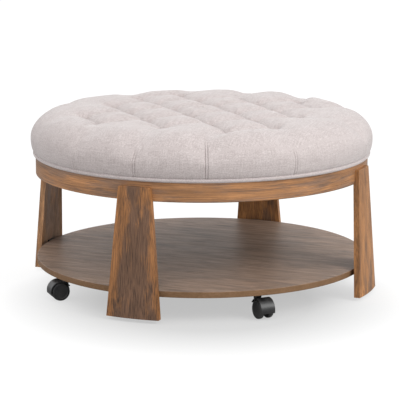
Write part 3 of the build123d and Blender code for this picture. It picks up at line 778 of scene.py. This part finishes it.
def make_cushion_mesh(sizes):
    """The whole tufted form as one closed mesh."""
    rows = cushion_rows(sizes, top_rows=100, shoulder_rows=38, side_rows=14)
    paths = pleat_paths(sizes)
    turns = close_turns(480, paths)
    places = cushion_points(rows, turns, sizes, paths)
    places = places + swollen_way(rows, turns, sizes, paths)
    return polar_mesh("cushion", places, float(places[0, :, 2].mean()), BOARD_BOTTOM)


class OTTOMAN_OT_cushion(bpy.types.Operator):
    """Make the tufted linen cushion"""
    bl_idname = "ottoman.cushion"
    bl_label = "Cushion"

    def execute(self, context):
        sizes, finish = context.scene.ottoman_cushion, context.scene.ottoman_finish
        cushion = new_piece("cushion", make_cushion_mesh(sizes))
        cushion.data.shade_smooth()
        set_material(cushion, linen_material("linen", finish.linen, finish.linen_shade, "cushion"))
        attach(cushion, "root")
        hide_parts("cushion_cover", "wadding", "foam_core")
        return {"FINISHED"}


# Pieces that repeat or follow a path

def new_geometry_tree(name, inputs):
    """Geometry tree with named inputs, its helper, its input sockets and its output node."""
    group = bpy.data.node_groups.new(name, "GeometryNodeTree")
    add_inputs(group, [("Geometry", "Geometry", None), *inputs])
    group.interface.new_socket(name="Geometry", in_out="OUTPUT", socket_type="NodeSocketGeometry")
    tree = Tree(group)
    return group, tree, tree.node("NodeGroupInput").outputs, tree.node("NodeGroupOutput").inputs


def end_geometry_tree(tree, end, geometry, material):
    """Close a tree with Realize Instances and Set Material."""
    real = tree.first("GeometryNodeRealizeInstances", Geometry=geometry)
    tree.put(end["Geometry"], tree.first("GeometryNodeSetMaterial", Geometry=real, Material=material))


def raised(tree, geometry, level):
    """Geometry moved up to a level."""
    return tree.first("GeometryNodeTransform", Geometry=geometry, Translation=tree.join(Z=level))


def circle(tree, count, radius, level=None):
    """Circle of a number of points, at a level if given."""
    made = tree.first("GeometryNodeCurvePrimitiveCircle", Resolution=count, Radius=radius)
    return made if level is None else raised(tree, made, level)


def copies(tree, points, template, **inputs):
    """Copies of the template piece on points."""
    copied = tree.node("GeometryNodeObjectInfo", Object=template).outputs["Geometry"]
    return tree.first("GeometryNodeInstanceOnPoints", Points=points, Instance=copied, **inputs)


def grow(name, group, values):
    """Run a geometry tree on an empty mesh and keep its result as a plain piece."""
    carrier = new_piece(name + "_tree", bpy.data.meshes.new(name + "_tree"))
    modifier = carrier.modifiers.new("grow", "NODES")
    modifier.node_group = group
    sockets = {item.name: item.identifier for item in group.interface.items_tree if item.in_out == "INPUT"}
    for label, value in values.items():
        modifier[sockets[label]] = value
    evaluated = carrier.evaluated_get(bpy.context.evaluated_depsgraph_get())
    mesh = bpy.data.meshes.new_from_object(evaluated)
    bpy.data.objects.remove(carrier)
    mesh.name = name
    if not mesh.polygons:
        raise RuntimeError(f"the tree of {name} gave no faces")
    return new_piece(name, mesh)


def grow_copies(name, mesh, make_tree, material, values):
    """Grow a piece from a tree that copies one mesh."""
    template = new_piece(mesh.name, mesh)
    piece = grow(name, make_tree(template, material), values)
    bpy.data.objects.remove(template)
    return piece


def welt_tree(material):
    """Round piping swept along a circle."""
    group, tree, start, end = new_geometry_tree(
        "Welt", [("Ring Radius", "Float", 0.4), ("Welt Radius", "Float", 0.004), ("Level", "Float", 0.3)])
    path = circle(tree, 420, start["Ring Radius"], start["Level"])
    section = circle(tree, 16, start["Welt Radius"])
    sweep = tree.first("GeometryNodeCurveToMesh", Curve=path, Profile_Curve=section)
    end_geometry_tree(tree, end, tree.first("GeometryNodeSetShadeSmooth", Geometry=sweep), material)
    return group


class OTTOMAN_OT_welt(bpy.types.Operator):
    """Make the piping round the cushion's foot"""
    bl_idname = "ottoman.welt"
    bl_label = "Welt"

    def execute(self, context):
        finish = context.scene.ottoman_finish
        linen = linen_material("welt_linen", finish.linen, finish.linen_shade, "ring")
        welt = grow("welt", welt_tree(linen), {"Ring Radius": RING_RADIUS + WELT_OUT,
                                               "Welt Radius": WELT_FULLNESS, "Level": RING_TOP + WELT_UP})
        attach(welt, "root")
        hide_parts("welt_piping")
        return {"FINISHED"}


def button_mesh(name):
    """Covered button: a low dome with its cloth tucked round the rim."""
    radius, height, steps = 0.0087, 0.006, 7
    rows = [(radius * sin(turn), height * (0.25 + 0.75 * cos(turn)))
            for turn in [pi / 2 * step / steps for step in range(1, steps + 1)]]
    rows += [(radius * 0.97, height * 0.12), (radius * 0.9, 0.0), (radius * 0.4, 0.0)]
    return polar_mesh(name, turned_rows(rows, even_turns(32)), height, 0.0)


def buttons_tree(template, material):
    """One button at each odd place of a square grid, out to a reach."""
    group, tree, start, end = new_geometry_tree(
        "Tuft Buttons", [("Step", "Float", 0.08), ("Reach", "Float", 0.3), ("Level", "Float", 0.4)])
    across = 9
    size = tree.times(start["Step"], across - 1.0)
    grid = tree.first("GeometryNodeMeshGrid", Size_X=size, Size_Y=size, Vertices_X=across, Vertices_Y=across)
    odd = tree.math("MODULO", tree.first("GeometryNodeInputIndex"), 2.0)
    spot = tree.node("ShaderNodeVectorMath", operation="LENGTH")
    tree.put(spot.inputs[0], tree.first("GeometryNodeInputPosition"))
    wanted = tree.times(odd, tree.math("LESS_THAN", spot.outputs["Value"], start["Reach"]))
    stored = tree.first("GeometryNodeStoreNamedAttribute", data_type="FLOAT", domain="POINT",
                        Geometry=grid, Name="wanted", Value=wanted)
    picked = tree.node("FunctionNodeCompare", data_type="FLOAT", operation="GREATER_THAN")
    marked = tree.first("GeometryNodeInputNamedAttribute", data_type="FLOAT", Name="wanted")
    tree.put(picked.inputs[0], marked)
    tree.put(picked.inputs[1], 0.5)
    many = copies(tree, raised(tree, stored, start["Level"]), template, Selection=picked.outputs[0])
    end_geometry_tree(tree, end, tree.first("GeometryNodeSetShadeSmooth", Geometry=many), material)
    return group


class OTTOMAN_OT_buttons(bpy.types.Operator):
    """Make the covered buttons in the tufts"""
    bl_idname = "ottoman.buttons"
    bl_label = "Buttons"

    def execute(self, context):
        sizes, finish = context.scene.ottoman_cushion, context.scene.ottoman_finish
        linen = linen_material("button_linen", finish.linen, finish.linen_shade, "flat")
        buttons = grow_copies("buttons", button_mesh("button_template"), buttons_tree, linen, {
            "Step": sizes.tuft_step, "Reach": RING_RADIUS - sizes.shoulder_width, "Level": BUTTON_LEVEL})
        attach(buttons, "root")
        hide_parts("tuft_buttons")
        return {"FINISHED"}


def staple_mesh(name):
    """Crown of one staple, pressed into the cloth: a thin flat wire with rounded edges."""
    length, wire = 0.010, 0.0006
    mesh = bpy.data.meshes.new(name)
    bm = bmesh.new()
    made = bmesh.ops.create_cube(bm, size=1.0)["verts"]
    bmesh.ops.scale(bm, vec=(length, wire * 2, wire), verts=made)
    bmesh.ops.bevel(bm, geom=bm.edges[:], offset=wire * 0.3, segments=2, affect="EDGES")
    bm.to_mesh(mesh)
    bm.free()
    return mesh


def staples_tree(template, material):
    """Staples side by side along a circle."""
    group, tree, start, end = new_geometry_tree(
        "Staples", [("Circle Radius", "Float", 0.36), ("Level", "Float", 0.3), ("Count", "Int", 72)])
    path = circle(tree, start["Count"], start["Circle Radius"], start["Level"])
    tangent = tree.first("GeometryNodeInputTangent")
    way = tree.first("FunctionNodeAlignRotationToVector", axis="X", Vector=tangent)
    end_geometry_tree(tree, end, copies(tree, path, template, Rotation=way), material)
    return group


class OTTOMAN_OT_dust_cloth(bpy.types.Operator):
    """Make the dust cloth stapled under the cushion"""
    bl_idname = "ottoman.dust_cloth"
    bl_label = "Dust Cloth"

    def execute(self, context):
        level, turns = DUST_LEVEL + DUST_LIFT, even_turns(144)
        share = np.arange(1, 25)[:, None] / 24
        places = turned_rows([(radius, level) for radius in DUST_RADIUS * share[:, 0]], turns)
        ripple = DUST_RIPPLE * share ** 4 * (1 - share) * np.sin(36 * turns)
        places[..., 2] -= DUST_SAG * (1 - share ** 2) + ripple
        mesh = polar_mesh("dust_cloth", places, level - DUST_SAG)
        mesh.flip_normals()
        cloth = new_piece("dust_cloth", mesh)
        cloth.data.shade_smooth()
        set_material(cloth, plain_material("dust_cloth", (0.02, 0.02, 0.021, 1.0), 0.85, dust=0.3, relief=0.6,
                                           specular=0.2))
        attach(cloth, "root")
        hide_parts("dust_cover")

        zinc = plain_material("staple_wire", (0.55, 0.55, 0.56, 1.0), 0.35, metallic=1.0)
        staples = grow_copies("staples", staple_mesh("staple_template"), staples_tree, zinc, {
            "Circle Radius": DUST_RADIUS - STAPLE_INSET, "Level": DUST_LEVEL - STAPLE_DROP,
            "Count": STAPLE_COUNT})
        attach(staples, "root")
        return {"FINISHED"}


# Finishes of the CAD pieces

class OTTOMAN_OT_wood(bpy.types.Operator):
    """Finish the ring, legs, shelf, blocks and board in wood"""
    bl_idname = "ottoman.wood"
    bl_label = "Wood"

    def execute(self, context):
        finish = context.scene.ottoman_finish
        dark = finish.wood_dark
        # Painted light: the legs are one wood in lit and shaded copies. The right and back legs get a
        # lighter, less washed copy for the key light that falls on them
        clear = wood_material("clear_leg_wood", finish.wood_light, dark, finish.wood_wash, "up",
                              washed=0.45, fibres=0.42)
        woods = {
            "apron_ring": wood_material(
                "ring_wood", (0.45, 0.215, 0.09, 1.0), dark, (0.225, 0.145, 0.106, 1.0), "ring",
                washed=0.6, fibres=0.45, mottle=0.9),
            "leg_right": clear,
            "leg_back": clear,
            # Painted light: a lighter copy for the left leg, lifting the shade it stands in
            "leg_left": wood_material(
                "grey_leg_wood", (0.56, 0.29, 0.135, 1.0), dark, (0.35, 0.235, 0.17, 1.0), "up",
                washed=0.75, fibres=0.36),
            # Painted shade: the front leg's copy is the darkest and most washed
            "leg_front": wood_material(
                "leg_wood", (0.36, 0.155, 0.052, 1.0), dark, (0.142, 0.077, 0.047, 1.0), "up",
                washed=0.8, fibres=0.72, mottle=1.15),
            "shelf": wood_material(
                "shelf_wood", finish.shelf_light, finish.shelf_dark, (0.21, 0.155, 0.128, 1.0), "across",
                washed=0.55, fibres=0.74, gloss=0.18, mottle=0.6, rim=(0.17, 0.085, 0.03, 1.0)),
            "apron_blocks": wood_material(
                "block_wood", (0.55, 0.37, 0.2, 1.0), (0.38, 0.22, 0.1, 1.0), (0.5, 0.33, 0.18, 1.0),
                "across", washed=0.2, fibres=0.5),
            "base_board": wood_material(
                "plywood", (0.6, 0.43, 0.26, 1.0), (0.45, 0.3, 0.16, 1.0), (0.52, 0.36, 0.2, 1.0),
                "across", washed=0.2, fibres=0.5),
        }
        for name, wood in woods.items():
            set_material(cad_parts[name], wood)
        return {"FINISHED"}


class OTTOMAN_OT_casters(bpy.types.Operator):
    """Finish the casters' plastic and steel"""
    bl_idname = "ottoman.casters"
    bl_label = "Casters"

    def execute(self, context):
        hood = plain_material("hood_plastic", (0.012, 0.012, 0.013, 1.0), 0.28, dust=0.12, relief=0.1)
        wheel = plain_material("wheel_plastic", (0.017, 0.017, 0.018, 1.0), 0.38, dust=0.2)
        zinc = plain_material("zinc_steel", ZINC, 0.32, metallic=1.0)
        parts = {"hood": hood, "wheel_left": wheel, "wheel_right": wheel, "plate": zinc, "kingpin": zinc,
                 "bearing": zinc, "axle": zinc}
        for number in range(1, CASTER_COUNT + 1):
            for part, material in parts.items():
                set_material(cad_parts[f"caster_{part}_{number}"], material)
        return {"FINISHED"}


class OTTOMAN_OT_fittings(bpy.types.Operator):
    """Finish the spacers, bolts, screws and ties"""
    bl_idname = "ottoman.fittings"
    bl_label = "Fittings"

    def execute(self, context):
        black = plain_material("spacer_plastic", (0.015, 0.015, 0.016, 1.0), 0.45, dust=0.15, relief=0.2)
        steel = plain_material("black_steel", (0.05, 0.05, 0.052, 1.0), 0.35, metallic=0.9)
        zinc = plain_material("fitting_zinc", ZINC, 0.32, metallic=1.0)
        brass = plain_material("insert_brass", (0.6, 0.42, 0.16, 1.0), 0.35, metallic=1.0)
        twine = plain_material("waxed_twine", (0.55, 0.47, 0.36, 1.0), 0.8, relief=0.6)
        finishes = {"shelf_spacers": black, "leg_bolts": steel, "leg_washers": steel, "cushion_screws": zinc,
                    "caster_screws": zinc, "shelf_studs": zinc, "leg_inserts": brass, "button_ties": twine}
        for name, material in finishes.items():
            set_material(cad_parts[name], material)
        return {"FINISHED"}


# Studio

def area_light(name, power, size, place, target, colour=(1.0, 1.0, 1.0)):
    """Soft square light aimed at a point."""
    data = bpy.data.lights.new(name, "AREA")
    data.energy = power
    data.shape = "RECTANGLE"
    data.size = data.size_y = size
    data.color = colour
    light = new_piece(name, data)
    light.location = place
    light.rotation_euler = (Vector(target) - Vector(place)).to_track_quat("-Z", "Y").to_euler()


class OTTOMAN_OT_stage(bpy.types.Operator):
    """Make the pale floor, the lights and the camera"""
    bl_idname = "ottoman.stage"
    bl_label = "Stage"

    def execute(self, context):
        scene, studio = context.scene, context.scene.ottoman_studio
        mesh = bpy.data.meshes.new("floor")
        bm = bmesh.new()
        bmesh.ops.create_grid(bm, x_segments=4, y_segments=4, size=30.0)
        bm.to_mesh(mesh)
        bm.free()
        floor = new_piece("floor", mesh)
        material, tree, shader, place = new_material("studio_floor")
        # Painted light: the floor glows for camera rays only, dimmer near the table as a painted soft shadow
        # and brighter away from it
        away = tree.node("ShaderNodeVectorMath", operation="DISTANCE")
        tree.put(away.inputs[0], place)
        tree.put(away.inputs[1], PAINTED_SHADOW_MIDDLE)
        glow = tree.times(tree.ramp(away.outputs["Value"], *PAINTED_SHADOW_SPAN), PAINTED_GLOW_MORE)
        seen = tree.node("ShaderNodeLightPath").outputs["Is Camera Ray"]
        tree.fill(shader, Specular_IOR_Level=0.0, Emission_Color=WHITE,
                  Emission_Strength=tree.times(tree.add(PAINTED_GLOW_NEAR, glow), seen),
                  Base_Color=tree.blend(seen, FLOOR_BOUNCE, FLOOR_SEEN),
                  Roughness=tree.add(0.5, tree.times(tree.noise(place, 1.5, 2.0), 0.08)))
        set_material(floor, material)

        scene.world = bpy.data.worlds.new("studio")
        scene.world.use_nodes = True
        sky = scene.world.node_tree.nodes["Background"]
        sky.inputs["Color"].default_value = WHITE
        sky.inputs["Strength"].default_value = 1.0

        area_light("key", studio.key_power, 2.4, (3.4, -1.0, 2.6), (0.0, 0.0, 0.3), (0.985, 1.0, 0.99))
        area_light("fill", studio.fill_power, 2.0, (-2.6, -2.2, 1.6), (0.0, 0.0, 0.25))

        data = bpy.data.cameras.new("camera")
        data.lens = studio.lens
        data.sensor_width = 36.0
        camera = scene.camera = new_piece("camera", data)
        camera.location = (studio.camera_distance * sin(studio.camera_azimuth),
                           -studio.camera_distance * cos(studio.camera_azimuth), studio.camera_height)
        camera.rotation_euler = (pi / 2 - studio.camera_tilt, 0.0, studio.camera_azimuth + studio.camera_pan)
        scene.view_settings.view_transform = "Standard"
        return {"FINISHED"}


class OTTOMAN_PT_pieces(bpy.types.Panel):
    """Lists the pieces of the ottoman and their sizes"""
    bl_idname = "OTTOMAN_PT_pieces"
    bl_label = "Tufted Ottoman"
    bl_space_type = "VIEW_3D"
    bl_region_type = "UI"
    bl_category = "Ottoman"

    def draw(self, context):
        layout = self.layout
        for name in GROUPS:
            group, box = getattr(context.scene, name), layout.box()
            for label in group.__annotations__:
                box.prop(group, label)
        for operator in OPERATORS:
            layout.operator(operator.bl_idname)


GROUPS = {"ottoman_cushion": OTTOMAN_PG_cushion, "ottoman_finish": OTTOMAN_PG_finish,
          "ottoman_studio": OTTOMAN_PG_studio}
OPERATORS = (OTTOMAN_OT_stage, OTTOMAN_OT_cushion, OTTOMAN_OT_welt, OTTOMAN_OT_buttons, OTTOMAN_OT_dust_cloth,
             OTTOMAN_OT_wood, OTTOMAN_OT_casters, OTTOMAN_OT_fittings)


def register():
    for name, group in GROUPS.items():
        bpy.utils.register_class(group)
        setattr(bpy.types.Scene, name, bpy.props.PointerProperty(type=group))
    for kind in OPERATORS + (OTTOMAN_PT_pieces,):
        bpy.utils.register_class(kind)


def unregister():
    for kind in reversed(OPERATORS + (OTTOMAN_PT_pieces,)):
        bpy.utils.unregister_class(kind)
    for name, group in GROUPS.items():
        delattr(bpy.types.Scene, name)
        bpy.utils.unregister_class(group)


def main():
    register()
    bpy.ops.ottoman.stage()
    bpy.ops.ottoman.cushion()
    bpy.ops.ottoman.welt()
    bpy.ops.ottoman.buttons()
    bpy.ops.ottoman.dust_cloth()
    bpy.ops.ottoman.wood()
    bpy.ops.ottoman.casters()
    bpy.ops.ottoman.fittings()


if __name__ == "__main__":
    main()
